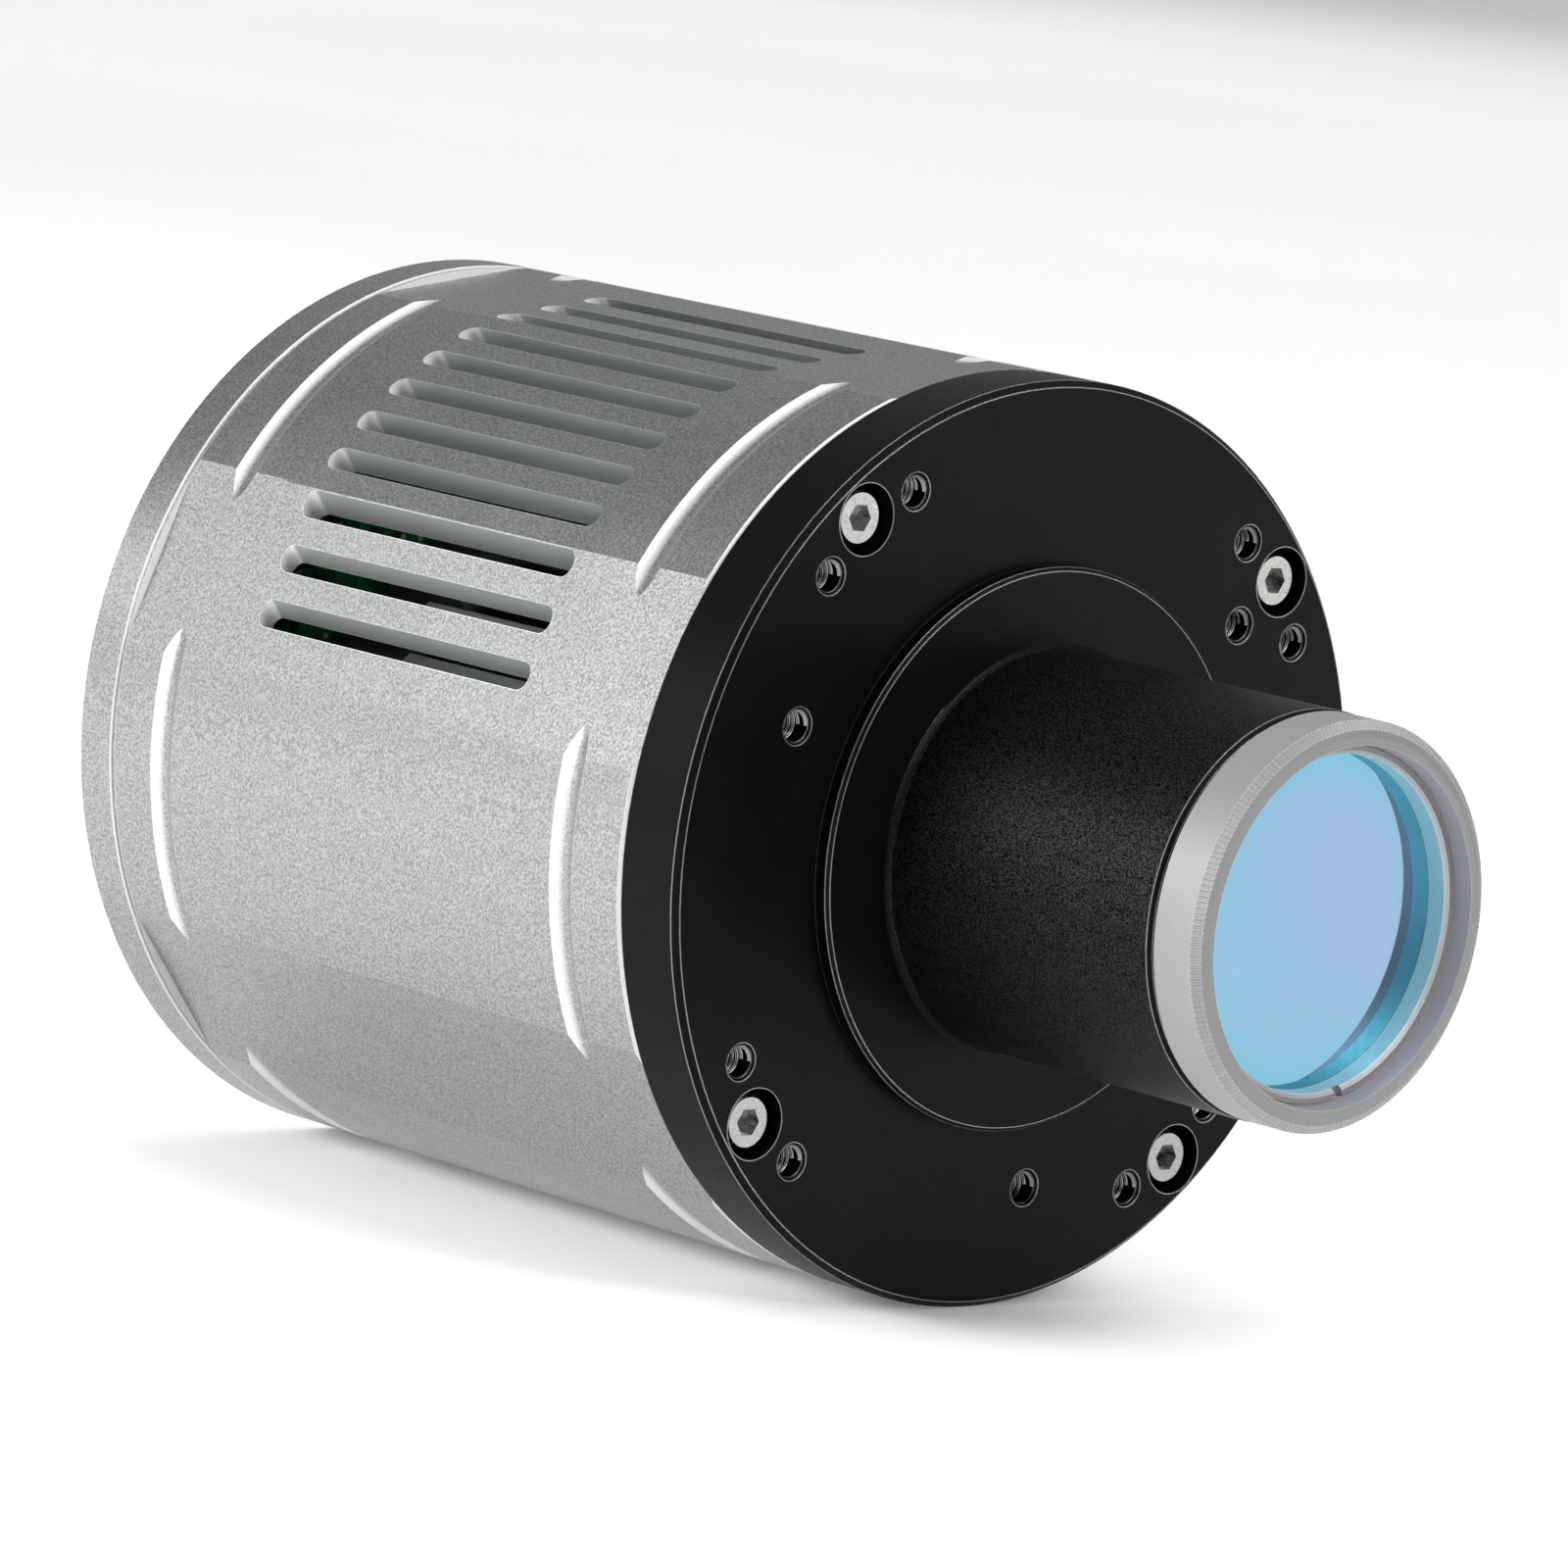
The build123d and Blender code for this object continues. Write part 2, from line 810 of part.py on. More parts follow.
def blade():
    """One twisted blade: steep at the hub, flatter at the tip."""
    sections = []
    for radius, width, twist in (
        (rotor_hub_r - blade_root_sunk, blade_root_width, blade_root_twist),
        (rotor_tip_r, blade_tip_width, blade_tip_twist),
    ):
        plane = Plane(origin=(radius, blade_centre_y, 0), x_dir=(0, 1, 0), z_dir=(1, 0, 0))
        sections.append(plane * Rot(0, 0, twist) * Rectangle(width, blade_thick))
    return loft(sections)


def fan_rotor():
    cap_rear = rotor_front + rotor_cap_thick
    body = turned(
        (0, rotor_front),
        (rotor_hub_r - rotor_hub_round, rotor_front),
        (rotor_hub_r, rotor_front + rotor_hub_round),
        (rotor_hub_r, rotor_rear),
        (rotor_hub_r - rotor_wall, rotor_rear),
        (rotor_hub_r - rotor_wall, cap_rear),
        (0, cap_rear),
    )
    sweep = ring(rotor_tip_r, rotor_hub_r - blade_root_sunk, rotor_front, rotor_rear)
    for index in range(blade_count):
        body += (Rot(0, index * 360 / blade_count, 0) * blade()) & sweep
    return body


def fan_magnet():
    outer_r = rotor_hub_r - rotor_wall
    return ring(outer_r, outer_r - magnet_thick, magnet_front, magnet_rear)


def fan_shaft():
    return disc(shaft_r, shaft_front, shaft_rear)


def fan_screws():
    screw = backwards(pan_screw(fan_screw_len, fan_screw_r, fan_screw_head_r, fan_screw_head_h))
    top = fan_rear + fan_screw_head_h
    return [aimed(put(screw, x, top, z), vent_angles[0]) for x, z in fan_corners()]


# ---------------------------------------------------------------- electronics

def ribbon_run(inner_z, y):
    """Stretch of the flat cable between the inside and the housing wall."""
    reach = ribbon_wall_z - inner_z
    return block(ribbon_w, reach, y, y + ribbon_thick, z=inner_z + reach / 2)


def sensor_ribbon():
    """Flat cable: out of the chamber, along the housing wall and in to the main board."""
    end = board_front - ribbon_board_gap
    cable = ribbon_run(ribbon_sensor_z, ribbon_front)
    cable += block(ribbon_w, ribbon_thick, ribbon_front, end, z=ribbon_wall_z)
    cable += ribbon_run(ribbon_board_z, end - ribbon_thick)
    return aimed(cable, board_angle)


def ribbon_sockets():
    width, height, depth = board_socket_size
    main_end = block(width, height, board_front - depth, board_front, z=board_socket_z)
    width, height, depth = sensor_socket_size
    sensor_rear = package_rear + sensor_board_thick
    sensor_end = block(width, height, sensor_rear, sensor_rear + depth, z=sensor_socket_z)
    return [aimed(main_end, board_angle), aimed(sensor_end, board_angle)]


def main_board():
    body = disc(board_r, board_front, board_rear)
    for angle in standoff_angles:
        x, z = polar(standoff_circle_r, angle)
        body -= rod(board_screw_hole_r, x, z, board_front, board_rear)
    return body


def board_chips():
    solids = []
    for x, z, width, height, tall in front_chips:
        solids.append(block(width, height, board_front - tall, board_front, x, z))
    for x, z, width, height, tall in rear_chips:
        solids.append(block(width, height, board_rear, board_rear + tall, x, z))
    return solids


def board_capacitors():
    return [rod(capacitor_r, x, z, board_rear, board_rear + capacitor_h) for x, z in capacitor_places]


def board_standoffs():
    height = housing_rear - board_rear
    post = hexagon(standoff_af, height)
    post += disc(standoff_stud_r, height, height + standoff_stud_len)
    post -= disc(standoff_tap_r, 0, standoff_tap_depth)
    return round_pattern(post, standoff_circle_r, standoff_angles, board_rear)


def board_screws():
    screw = pan_screw(board_screw_len, board_screw_r, board_screw_head_r, board_screw_head_h)
    return round_pattern(screw, standoff_circle_r, standoff_angles, board_front - board_screw_head_h)


def usb_part(size, y0, y1, z, trim=0.0):
    """Block inside the data socket, trimmed all round."""
    width, height = size
    return block(width - 2 * trim, height - 2 * trim, y0, y1, usb_x, z)


def usb_shell():
    base = board_rear + socket_base_thick
    body = block(usb_w, usb_h, board_rear, usb_front, usb_x, usb_z)
    body -= usb_part(usb_lower_size, base, usb_front, usb_lower_z)
    return body - usb_part(usb_upper_size, base, usb_front, usb_upper_z)


def usb_insulator():
    base = board_rear + socket_base_thick
    tip = usb_front - usb_tongue_depth
    body = usb_part(usb_lower_size, base, base + usb_base_thick, usb_lower_z, usb_base_gap)
    body += usb_part(usb_upper_size, base, base + usb_base_thick, usb_upper_z, usb_base_gap)
    body += usb_part(usb_lower_tongue, base, tip, usb_lower_z)
    return body + usb_part(usb_upper_tongue, base, tip, usb_upper_z)


def power_jack():
    body = block(jack_size, jack_size, board_rear, jack_rear, jack_x, jack_z)
    return body - rod(jack_bore_r, jack_x, jack_z, board_rear + socket_base_thick, jack_rear)


def power_pin():
    return rod(jack_pin_r, jack_x, jack_z, board_rear + socket_base_thick, jack_rear - jack_pin_sunk)


# ---------------------------------------------------------------- rear cover

def rear_cover():
    body = turned(
        (0, housing_rear),
        (cover_groove_r, housing_rear),
        (cover_groove_r, cover_groove_end),
        (housing_r - cover_groove_chamfer, cover_groove_end),
        (housing_r, cover_groove_end + cover_groove_chamfer),
        (housing_r, cover_rear - cover_edge),
        (housing_r - cover_edge, cover_rear),
        (0, cover_rear),
    )
    head_start = cover_rear - plate_head_depth - screw_head_h
    for angle in screw_angles:
        x, z = polar(screw_circle_r, angle)
        body -= rod(screw_hole_r, x, z, housing_rear, head_start)
        body -= rod(counterbore_r, x, z, head_start, cover_rear)
    for angle in standoff_angles:
        x, z = polar(standoff_circle_r, angle)
        body -= rod(tapped_r, x, z, housing_rear, housing_rear + standoff_stud_len + standoff_stud_gap)
    gap = 2 * socket_hole_gap
    body -= block(usb_w + gap, usb_h + gap, housing_rear, cover_rear, usb_x, usb_z)
    body -= rod(jack_hole_r, jack_x, jack_z, housing_rear, cover_rear)
    return body - block(jack_size + gap, jack_size + gap, housing_rear, jack_rear, jack_x, jack_z)


def cover_screws():
    screw = backwards(cap_screw(cover_screw_len))
    return round_pattern(screw, screw_circle_r, screw_angles, cover_rear - plate_head_depth)


parts = {
    "filter_cell": filter_cell(),
    "filter_glass": filter_glass(),
    "filter_retaining_ring": filter_retaining_ring(),
    "nosepiece": nosepiece(),
    "nosepiece_seal": nosepiece_seal(),
    "front_plate": front_plate(),
    "front_plate_screws": plate_screws(),
    "housing": housing(),
    "window_gasket": window_gasket(),
    "sensor_window": sensor_window(),
    "window_heater": window_heater(),
    "sensor_chamber": sensor_chamber(),
    "chamber_front_seal": chamber_seal(),
    "chamber_rear_seal": rear_chamber_seal(),
    "desiccant_tablets": desiccant_tablets(),
    "sensor_cover_glass": sensor_cover_glass(),
    "sensor_package": sensor_package(),
    "sensor_die": sensor_die(),
    "sensor_board": sensor_board(),
    "sensor_board_screws": sensor_board_screws(),
    "sensor_ribbon": sensor_ribbon(),
    "ribbon_sockets": ribbon_sockets(),
    "cold_finger": cold_finger(),
    "temperature_probe": temperature_probe(),
    "peltier_plates": peltier_module(),
    "peltier_elements": peltier_elements(),
    "insulation_ring": insulation_ring(),
    "cooling_stack_screws": stack_screws(),
    "heat_sink": heat_sink(),
    "fan_frame": fan_frame(),
    "fan_bearing": fan_bearing(),
    "fan_stator": fan_stator(),
    "fan_rotor": fan_rotor(),
    "fan_magnet": fan_magnet(),
    "fan_shaft": fan_shaft(),
    "fan_screws": fan_screws(),
    "main_board": main_board(),
    "board_chips": board_chips(),
    "board_capacitors": board_capacitors(),
    "board_standoffs": board_standoffs(),
    "board_screws": board_screws(),
    "usb_shell": usb_shell(),
    "usb_insulator": usb_insulator(),
    "power_jack": power_jack(),
    "power_pin": power_pin(),
    "rear_cover": rear_cover(),
    "rear_cover_screws": cover_screws(),
}

os.makedirs("parts", exist_ok=True)
for name, shape in parts.items():
    solids = shape if isinstance(shape, list) else [shape]
    pieces = [solid for item in solids for solid in item.solids()]
    export_step(Compound(children=pieces), f"parts/{name}.step")
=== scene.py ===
"""The cooled astronomy camera's looks: materials, small details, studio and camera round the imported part."""

import json
import math

import bmesh
import bpy
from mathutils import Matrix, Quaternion, Vector


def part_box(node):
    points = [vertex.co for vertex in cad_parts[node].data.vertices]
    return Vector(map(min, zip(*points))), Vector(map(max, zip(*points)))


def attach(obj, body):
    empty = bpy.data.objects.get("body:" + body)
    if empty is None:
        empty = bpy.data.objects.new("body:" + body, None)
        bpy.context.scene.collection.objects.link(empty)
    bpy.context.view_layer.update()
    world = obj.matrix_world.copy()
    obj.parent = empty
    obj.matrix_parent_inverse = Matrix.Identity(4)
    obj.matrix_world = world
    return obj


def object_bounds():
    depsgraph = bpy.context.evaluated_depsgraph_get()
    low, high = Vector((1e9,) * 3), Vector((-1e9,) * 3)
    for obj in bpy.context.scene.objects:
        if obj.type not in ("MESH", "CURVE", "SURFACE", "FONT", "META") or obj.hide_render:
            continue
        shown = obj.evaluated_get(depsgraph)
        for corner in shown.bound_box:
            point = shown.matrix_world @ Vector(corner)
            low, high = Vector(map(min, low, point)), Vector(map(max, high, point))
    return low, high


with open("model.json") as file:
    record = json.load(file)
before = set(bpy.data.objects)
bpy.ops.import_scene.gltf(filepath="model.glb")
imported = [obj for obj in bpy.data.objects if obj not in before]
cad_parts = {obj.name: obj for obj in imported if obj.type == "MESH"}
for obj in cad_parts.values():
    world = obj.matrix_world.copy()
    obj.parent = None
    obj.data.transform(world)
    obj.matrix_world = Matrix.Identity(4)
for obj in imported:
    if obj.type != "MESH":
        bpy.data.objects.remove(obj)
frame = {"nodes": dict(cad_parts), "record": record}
cad_low, cad_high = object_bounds()
mm = 0.001

# Places worked out from the part itself: the optical axis is Y, and the front plate's face is at y = 0.
plate_low, plate_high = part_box("front_plate")
body_radius = (plate_high.x - plate_low.x) / 2
plate_face = plate_low.y
centre = (cad_low + cad_high) / 2

# Camera: the place in body radii from the origin, the direction it looks back from, and its roll.
camera_place = Vector((-13.575, -13.2376, 2.459)) * body_radius
camera_azimuth = -44.145
camera_elevation = 7.174
camera_roll = 6.9
camera_lens = 206.66
sensor_width = 36.0

# Tapped holes of the front plate, as in the part: a pair beside each plate screw, and three further in.
screw_angles = (40, 130, 220, 310)
hole_from_screw = 9.25
outer_hole_circle = 32.0 * mm
outer_hole_angles = [screw + side * hole_from_screw for screw in screw_angles for side in (-1, 1)]
inner_hole_circle = 27.5 * mm
inner_hole_angles = [40, 160, 280]
hole_radius = 1.25 * mm
hole_depth = 5.0 * mm
thread_pitch = 0.5 * mm
ridge_height = 0.16 * mm
thread_start = 0.3 * mm
# Beyond this depth the threads are black anodised: painted shade down the holes.
thread_shade_start = 1.15 * mm
thread_end = hole_depth - 0.2 * mm


# ---------------------------------------------------------------- materials


class Surface:
    """One procedural material: a Principled shader whose textures lie in the part's own frame, in metres."""

    def __init__(self, name, **uniform):
        self.material = bpy.data.materials.new(name)
        self.material.use_nodes = True
        self.nodes = self.material.node_tree.nodes
        self.links = self.material.node_tree.links
        self.nodes.clear()
        output = self.nodes.new("ShaderNodeOutputMaterial")
        self.shader = self.nodes.new("ShaderNodeBsdfPrincipled")
        self.links.new(self.shader.outputs["BSDF"], output.inputs["Surface"])
        self.place = self.nodes.new("ShaderNodeTexCoord").outputs["Object"]
        for socket, value in uniform.items():
            self.shader.inputs[socket.replace("_", " ")].default_value = value

    def noise(self, size, detail=2.0, stretch=(1, 1, 1)):
        """Noise whose features are about size metres across, or more along the axes stretched."""
        mapping = self.nodes.new("ShaderNodeMapping")
        mapping.inputs["Scale"].default_value = [1 / s for s in stretch]
        texture = self.nodes.new("ShaderNodeTexNoise")
        texture.inputs["Scale"].default_value = 1 / size
        texture.inputs["Detail"].default_value = detail
        self.links.new(self.place, mapping.inputs["Vector"])
        self.links.new(mapping.outputs["Vector"], texture.inputs["Vector"])
        return texture.outputs["Fac"]

    def cells(self, size):
        """Distance to the nearest of many random points about size metres apart."""
        texture = self.nodes.new("ShaderNodeTexVoronoi")
        texture.inputs["Scale"].default_value = 1 / size
        self.links.new(self.place, texture.inputs["Vector"])
        return texture.outputs["Distance"]

    def maths(self, operation, first, second=0.0):
        """One Math node; each of its inputs is a number or another node's output."""
        node = self.nodes.new("ShaderNodeMath")
        node.operation = operation
        for socket, value in zip(node.inputs, (first, second)):
            if isinstance(value, (int, float)):
                socket.default_value = value
            else:
                self.links.new(value, socket)
        return node.outputs["Value"]

    def radius(self):
        """Distance from the optical axis."""
        split = self.nodes.new("ShaderNodeSeparateXYZ")
        self.links.new(self.place, split.inputs["Vector"])
        across = self.maths("POWER", split.outputs["X"], 2.0)
        up = self.maths("POWER", split.outputs["Z"], 2.0)
        return self.maths("SQRT", self.maths("ADD", across, up))

    def facing(self):
        """How squarely a face looks away from the optical axis (0 to 1), and how far it looks to the rear."""
        split = self.nodes.new("ShaderNodeSeparateXYZ")
        self.links.new(self.place, split.inputs["Vector"])
        outwards = self.nodes.new("ShaderNodeCombineXYZ")
        self.links.new(split.outputs["X"], outwards.inputs["X"])
        self.links.new(split.outputs["Z"], outwards.inputs["Z"])
        unit = self.nodes.new("ShaderNodeVectorMath")
        unit.operation = "NORMALIZE"
        self.links.new(outwards.outputs["Vector"], unit.inputs[0])
        product = self.nodes.new("ShaderNodeVectorMath")
        product.operation = "DOT_PRODUCT"
        normal = self.nodes.new("ShaderNodeTexCoord").outputs["Normal"]
        self.links.new(unit.outputs["Vector"], product.inputs[0])
        self.links.new(normal, product.inputs[1])
        parts = self.nodes.new("ShaderNodeSeparateXYZ")
        self.links.new(normal, parts.inputs["Vector"])
        return self.maths("ABSOLUTE", product.outputs["Value"]), parts.outputs["Y"]

    def turned(self, pitch):
        """Uneven rings round the optical axis, as a lathe leaves on a faced surface."""
        texture = self.nodes.new("ShaderNodeTexNoise")
        texture.noise_dimensions = "1D"
        texture.inputs["Scale"].default_value = 1 / pitch
        texture.inputs["Detail"].default_value = 3.0
        self.links.new(self.radius(), texture.inputs["W"])
        return texture.outputs["Fac"]

    def spread(self, value, low, high, start=0.3, end=0.7):
        """value, usually from start to end, mapped to low and high."""
        node = self.nodes.new("ShaderNodeMapRange")
        node.inputs["From Min"].default_value = start
        node.inputs["From Max"].default_value = end
        node.inputs["To Min"].default_value = low
        node.inputs["To Max"].default_value = high
        self.links.new(value, node.inputs["Value"])
        return node.outputs["Result"]

    def mix(self, factor, first, second):
        """Colour mixed from two, by a 0 to 1 factor; each colour is a triple or another node's output."""
        node = self.nodes.new("ShaderNodeMix")
        node.data_type = "RGBA"
        self.links.new(factor, node.inputs["Factor"])
        for name, value in (("A", first), ("B", second)):
            socket = [s for s in node.inputs if s.name == name and s.type == "RGBA"][0]
            if isinstance(value, tuple):
                socket.default_value = (*value, 1.0)
            else:
                self.links.new(value, socket)
        return [s for s in node.outputs if s.type == "RGBA"][0]

    def colour(self, value):
        self.links.new(value, self.shader.inputs["Base Color"])

    def rough(self, value):
        self.links.new(value, self.shader.inputs["Roughness"])

    def bump(self, height, depth):
        """Adds relief of that depth in metres, on top of any bump already there."""
        node = self.nodes.new("ShaderNodeBump")
        node.inputs["Strength"].default_value = 1.0
        node.inputs["Distance"].default_value = depth
        self.links.new(height, node.inputs["Height"])
        normal = self.shader.inputs["Normal"]
        if normal.is_linked:
            self.links.new(normal.links[0].from_socket, node.inputs["Normal"])
        self.links.new(node.outputs["Normal"], normal)

    def edges(self, width):
        """0 on open faces, rising to 1 within width metres of a sharp edge."""
        bevel = self.nodes.new("ShaderNodeBevel")
        bevel.samples = 4
        bevel.inputs["Radius"].default_value = width
        geometry = self.nodes.new("ShaderNodeNewGeometry")
        product = self.nodes.new("ShaderNodeVectorMath")
        product.operation = "DOT_PRODUCT"
        self.links.new(bevel.outputs["Normal"], product.inputs[0])
        self.links.new(geometry.outputs["Normal"], product.inputs[1])
        return self.spread(product.outputs["Value"], 1.0, 0.0, 0.90, 0.995)


def blasted_aluminium():
    """Bead-blasted and clear anodised with a fine grain; faces looking to the front are painted near-white as
    a painted highlight, slot side walls are a less metallic grey, and sharp edges carry a painted highlight.
    """
    look = Surface("silver_anodised")
    grain = look.noise(0.20 * mm, 3.0)
    base = look.mix(look.spread(grain, 0.0, 1.0, 0.38, 0.62), (0.255, 0.258, 0.261), (0.465, 0.47, 0.475))
    outwards, rearwards = look.facing()
    # Faces looking to the front (near sides of the grooves, slot ends) are painted near-white and less
    # metallic: a painted highlight.
    painted_front_highlight = look.spread(rearwards, 1.0, 0.0, -0.42, -0.06)
    sideways = look.spread(outwards, 1.0, 0.0, 0.5, 0.9)
    slot_side = look.maths("MULTIPLY", sideways, look.spread(rearwards, 1.0, 0.0, 0.5, 0.9))
    base = look.mix(slot_side, base, (0.36, 0.385, 0.38))
    base = look.mix(painted_front_highlight, base, (0.80, 0.80, 0.80))
    # Near-white within 0.12 mm of sharp edges: a painted edge highlight.
    look.colour(look.mix(look.edges(0.12 * mm), base, (0.80, 0.80, 0.80)))
    front_highlight_and_slot_side = look.maths("MAXIMUM", painted_front_highlight, look.maths("MULTIPLY", slot_side, 0.8))
    look.links.new(look.spread(front_highlight_and_slot_side, 1.0, 0.2, 0.0, 1.0), look.shader.inputs["Metallic"])
    look.rough(look.spread(look.noise(6 * mm, 3.0), 0.34, 0.40))
    look.bump(grain, 0.012 * mm)
    look.bump(look.cells(0.3 * mm), 0.006 * mm)
    return look.material


def black_aluminium():
    """Satin black anodising: sparkling on the nosepiece's barrel, with a light grey painted highlight along
    the edges.
    """
    look = Surface("black_anodised", Specular_IOR_Level=0.08)
    grain = look.noise(0.14 * mm, 3.0)
    outwards = look.facing()[0]
    near_axis = look.spread(look.radius(), 1.0, 0.0, 17 * mm, 18 * mm)
    barrel = look.maths("MULTIPLY", look.spread(outwards, 0.0, 1.0, 0.8, 0.95), near_axis)
    # Light grey metal within 0.14 mm of sharp edges: a painted edge highlight.
    painted_edge_highlight = look.edges(0.14 * mm)
    patches = look.spread(look.noise(9 * mm), 0.0, 1.0)
    base = look.mix(patches, (0.0015, 0.0015, 0.0016), (0.0028, 0.0028, 0.0030))
    glints = look.spread(grain, 0.0, 1.0, 0.42, 0.62)
    sparkle = look.mix(glints, (0.003, 0.003, 0.0032), (0.052, 0.052, 0.053))
    look.colour(look.mix(painted_edge_highlight, look.mix(barrel, base, sparkle), (0.62, 0.62, 0.625)))
    look.links.new(look.maths("MAXIMUM", barrel, painted_edge_highlight), look.shader.inputs["Metallic"])
    look.rough(look.maths("ADD", look.spread(grain, 0.30, 0.46), look.maths("MULTIPLY", barrel, 0.10)))
    look.bump(look.turned(0.12 * mm), 0.003 * mm)
    look.bump(grain, 0.02 * mm)
    return look.material


def filter_aluminium():
    """Satin turned aluminium, with rings from the lathe on its faces; front faces are painted darker as
    painted shade, the bore is painted a lighter pinkish grey as painted light and cyan next to the glass as a
    painted reflection, and edges carry a painted highlight.
    """
    look = Surface("filter_metal", Metallic=0.45)
    rings = look.turned(0.09 * mm)
    outwards, rearwards = look.facing()
    inside = look.spread(look.radius(), 1.0, 0.0, 14.2 * mm, 14.4 * mm)
    bore = look.maths("MULTIPLY", look.spread(outwards, 0.0, 1.0, 0.5, 0.9), inside)
    base = look.mix(look.spread(rings, 0.0, 1.0), (0.33, 0.33, 0.335), (0.42, 0.42, 0.425))
    # Faces looking to the front are painted a darker grey: painted shade.
    base = look.mix(look.spread(rearwards, 1.0, 0.0, -0.9, -0.5), base, (0.22, 0.22, 0.223))
    # The bore is painted a lighter pinkish grey as painted light, and cyan where it meets the glass as a
    # painted reflection of the coating.
    painted_glass_reflection = look.spread(look.radius(), 1.0, 0.0, 13.0 * mm, 13.1 * mm)
    base = look.mix(bore, base, look.mix(painted_glass_reflection, (0.46, 0.44, 0.46), (0.38, 0.68, 0.76)))
    # Light grey within 0.06 mm of sharp edges: a painted edge highlight.
    look.colour(look.mix(look.edges(0.06 * mm), base, (0.70, 0.70, 0.70)))
    look.rough(look.spread(look.noise(0.5 * mm, 3.0), 0.46, 0.56))
    look.bump(rings, 0.004 * mm)
    look.bump(look.noise(0.12 * mm), 0.005 * mm)
    return look.material


def coated_filter():
    """Dichroic coating: blue seen straight on, turning to lilac at grazing angles, with a painted cyan
    reflection spreading out towards its outer edge.
    """
    look = Surface("filter_coating", Metallic=1.0, Roughness=0.03)
    facing = look.nodes.new("ShaderNodeLayerWeight")
    facing.inputs["Blend"].default_value = 0.35
    # Cyan spreading out from 9 mm to 13.2 mm off the axis: a painted reflection of the cell wall.
    painted_rim_reflection = look.spread(look.radius(), 0.0, 1.0, 9.0 * mm, 13.2 * mm)
    middle = look.mix(look.spread(look.noise(14 * mm), 0.0, 1.0), (0.20, 0.40, 0.53), (0.27, 0.35, 0.54))
    edge = look.mix(painted_rim_reflection, middle, (0.13, 0.40, 0.50))
    look.colour(look.mix(look.spread(facing.outputs["Facing"], 0.0, 1.0, 0.2, 0.9), edge, (0.42, 0.34, 0.50)))
    return look.material


def screw_steel():
    """Stainless steel with fine scratches and darker pits."""
    look = Surface("screw_steel", Metallic=1.0)
    scratches = look.noise(0.08 * mm, 3.0, (1, 6, 1))
    look.colour(look.mix(look.spread(scratches, 0.0, 1.0), (0.26, 0.255, 0.25), (0.52, 0.51, 0.50)))
    look.rough(look.spread(look.noise(0.3 * mm), 0.14, 0.28))
    look.bump(scratches, 0.002 * mm)
    return look.material


def rubber():
    """Black nitrile rubber, matt with a little bloom."""
    look = Surface("seal_rubber", Specular_IOR_Level=0.3)
    bloom = look.noise(0.8 * mm, 4.0)
    look.colour(look.mix(look.spread(bloom, 0.0, 1.0), (0.010, 0.010, 0.010), (0.028, 0.028, 0.027)))
    look.rough(look.spread(bloom, 0.55, 0.8))
    look.bump(look.noise(0.1 * mm), 0.004 * mm)
    return look.material


def clear_glass():
    """Anti-reflection coated glass."""
    look = Surface("clear_glass", Transmission_Weight=1.0, IOR=1.5)
    look.rough(look.spread(look.noise(3 * mm, 4.0), 0.0, 0.03, 0.45, 0.75))
    look.colour(look.mix(look.spread(look.noise(9 * mm), 0.0, 1.0), (0.93, 0.98, 0.96), (0.97, 0.99, 1.0)))
    return look.material


def film(name, first, second):
    """Amber polyimide film with the faint relief of the copper under it."""
    look = Surface(name, Specular_IOR_Level=0.5)
    tracks = look.noise(1.2 * mm, 1.0, (1, 12, 1))
    look.colour(look.mix(look.spread(tracks, 0.0, 1.0, 0.42, 0.58), first, second))
    look.rough(look.spread(look.noise(2 * mm, 3.0), 0.18, 0.32))
    look.bump(tracks, 0.01 * mm)
    return look.material


def ceramic(name, first, second, low, high):
    """Pressed and fired ceramic: slightly mottled, with a fine-grained surface."""
    look = Surface(name, Specular_IOR_Level=0.45)
    mottle = look.noise(0.9 * mm, 4.0)
    look.colour(look.mix(look.spread(mottle, 0.0, 1.0), first, second))
    look.rough(look.spread(mottle, low, high))
    look.bump(look.noise(0.08 * mm, 3.0), 0.004 * mm)
    return look.material


def silicon():
    """Polished sensor with rainbow bands of its pixel rows."""
    look = Surface("sensor_silicon", Metallic=0.7, Coat_Weight=0.6)
    bands = look.noise(3.5 * mm, 1.0, (1, 3, 1))
    look.colour(look.mix(look.spread(bands, 0.0, 1.0), (0.03, 0.05, 0.12), (0.12, 0.06, 0.16)))
    look.rough(look.spread(look.noise(0.5 * mm), 0.10, 0.16))
    return look.material


def circuit_board():
    """Green solder mask over tracks, with bare pads showing here and there."""
    look = Surface("board_green", Specular_IOR_Level=0.5)
    tracks = look.noise(0.9 * mm, 0.0, (1, 1, 5))
    crossing = look.noise(0.9 * mm, 0.0, (5, 1, 1))
    both = look.maths("MAXIMUM", tracks, crossing)
    mask = look.mix(look.spread(both, 0.0, 1.0, 0.55, 0.60), (0.008, 0.10, 0.045), (0.02, 0.20, 0.09))
    pads = look.spread(look.cells(2.6 * mm), 1.0, 0.0, 0.10, 0.13)
    look.colour(look.mix(pads, mask, (0.62, 0.52, 0.30)))
    look.rough(look.spread(both, 0.24, 0.36))
    look.bump(both, 0.03 * mm)
    return look.material


def plastic(name, first, second, low, high):
    """Moulded plastic with spark-eroded texture."""
    look = Surface(name, Specular_IOR_Level=0.45)
    tone = look.noise(2.5 * mm, 3.0)
    look.colour(look.mix(look.spread(tone, 0.0, 1.0), first, second))
    look.rough(look.spread(tone, low, high))
    look.bump(look.noise(0.15 * mm, 2.0), 0.006 * mm)
    return look.material


